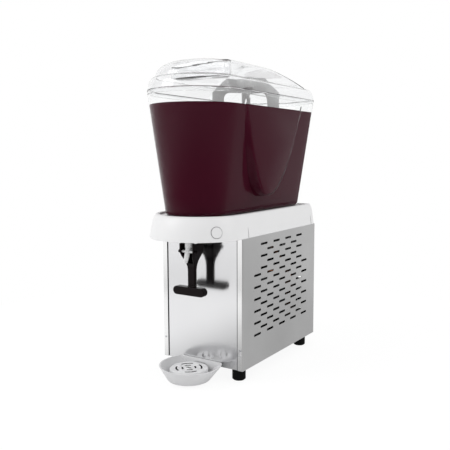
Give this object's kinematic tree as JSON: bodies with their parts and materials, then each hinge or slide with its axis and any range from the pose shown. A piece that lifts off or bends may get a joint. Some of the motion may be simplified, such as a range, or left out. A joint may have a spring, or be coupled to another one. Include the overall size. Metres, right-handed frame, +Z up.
{
  "type": "countertop juice dispenser",
  "caption": "Refrigerated countertop juice dispenser: clear bowed bowl with lid and stirring paddle on a slotted steel cabinet, with a push-lever tap and a drip tray.",
  "frame": {"origin": "middle of the overall outline on the counter, under the feet", "axes": "+Z up, -Y towards the front with the tap and drip tray, +X to the right of a person who faces the front"},
  "size_m": [0.211, 0.4724, 0.673],
  "materials": {
    "clear_plastic": "clear moulded",
    "white_plastic": "satin moulded",
    "grey_plastic": "satin moulded",
    "tray_plastic": "satin moulded",
    "dark_plastic": "moulded",
    "black_plastic": "moulded",
    "red_plastic": "moulded",
    "bright_steel": "bright annealed",
    "brushed_steel": "brushed",
    "zinc_steel": "zinc plated",
    "screw_steel": "plated",
    "rubber": "moulded",
    "seal_rubber": "moulded",
    "copper": "drawn tube",
    "aluminium": "mill",
    "black_metal": "painted"
  },
  "bodies": {
    "cabinet": {"collar": "white_plastic", "collar_cap": "white_plastic", "tap_body": "white_plastic", "spring_retainer": "white_plastic", "shaft_bush": "white_plastic", "thermostat": "white_plastic", "switch_body": "black_plastic", "cord_gland": "black_plastic", "fan_shroud": "black_plastic", "front_panel": "bright_steel", "left_side_panel": "brushed_steel", "right_side_panel": "brushed_steel", "rear_panel": "brushed_steel", "evaporator": "brushed_steel", "base_pan": "zinc_steel", "deck": "zinc_steel", "left_rail": "zinc_steel", "right_rail": "zinc_steel", "tray_hooks": "zinc_steel", "fan_pedestal": "zinc_steel", "gearmotor": "zinc_steel", "motor_screws": "screw_steel", "deck_screws": "screw_steel", "rear_screws": "screw_steel", "panel_screws": "screw_steel", "foot_screws": "screw_steel", "tap_screws": "screw_steel", "compressor_bolts": "screw_steel", "tap_spring": "screw_steel", "foot_front_left": "rubber", "foot_front_right": "rubber", "foot_rear_left": "rubber", "foot_rear_right": "rubber", "compressor_grommets": "rubber", "bowl_gasket": "seal_rubber", "evaporator_coil": "copper", "drier": "copper", "discharge_line": "copper", "suction_line": "copper", "liquid_line": "copper", "capillary_line": "copper", "condenser": "black_metal", "compressor": "black_metal", "fan_motor": "black_metal"},
    "bowl": {"bowl": "clear_plastic", "spigot_oring": "rubber"},
    "lid": {"lid": "clear_plastic"},
    "paddle": {"paddle": "grey_plastic"},
    "drive_shaft": {"drive_shaft": "brushed_steel"},
    "lever": {"lever": "dark_plastic"},
    "plunger": {"plunger": "white_plastic", "plunger_seal": "seal_rubber"},
    "drip_tray": {"drip_tray": "tray_plastic"},
    "strainer": {"strainer": "tray_plastic"},
    "thermostat_knob": {"thermostat_knob": "black_plastic"},
    "switch_rocker": {"switch_rocker": "red_plastic"},
    "fan_blade": {"fan_blade": "aluminium"}
  },
  "joints": [
    {"name": "bowl_lift", "type": "slide", "parent": "cabinet", "child": "bowl", "axis": [0, 0, 1], "range_m": [0, 0.235]},
    {"name": "lid_lift", "type": "slide", "parent": "bowl", "child": "lid", "axis": [0, 0, 1], "range_m": [0, 0.12]},
    {"name": "paddle_turn", "type": "hinge", "parent": "bowl", "child": "paddle", "pos_m": [0, 0.05925, 0.6055], "axis": [0, 0, 1], "continuous": true},
    {"name": "shaft_turn", "type": "hinge", "parent": "cabinet", "child": "drive_shaft", "pos_m": [0, 0.05925, 0.3055], "axis": [0, 0, 1], "continuous": true},
    {"name": "lever_push", "type": "hinge", "parent": "cabinet", "child": "lever", "pos_m": [0, -0.17175, 0.278], "axis": [1, 0, 0], "range_deg": [0, 16], "stiffness_Nm_per_rad": 1.2, "springref_deg": -8.59},
    {"name": "plunger_rise", "type": "slide", "parent": "cabinet", "child": "plunger", "axis": [0, 0, 1], "range_m": [0, 0.0034], "deforming": ["tap_spring"]},
    {"name": "tray_lift", "type": "slide", "parent": "cabinet", "child": "drip_tray", "axis": [0, 0, 1], "range_m": [0, 0.03]},
    {"name": "strainer_lift", "type": "slide", "parent": "drip_tray", "child": "strainer", "axis": [0, 0, 1], "range_m": [0, 0.04]},
    {"name": "knob_turn", "type": "hinge", "parent": "cabinet", "child": "thermostat_knob", "pos_m": [0.045, 0.22225, 0.2675], "axis": [0, 1, 0], "range_deg": [0, 270]},
    {"name": "switch_rock", "type": "hinge", "parent": "cabinet", "child": "switch_rocker", "pos_m": [-0.03, 0.22125, 0.2675], "axis": [-1, 0, 0], "range_deg": [0, 18]},
    {"name": "fan_turn", "type": "hinge", "parent": "cabinet", "child": "fan_blade", "pos_m": [0, 0.13225, 0.122], "axis": [0, 1, 0], "continuous": true}
  ],
  "couplings": [
    {"joint": "shaft_turn", "follows": "paddle_turn", "ratio": 1},
    {"joint": "plunger_rise", "follows": "lever_push", "m_per_rad": 0.011}
  ]
}
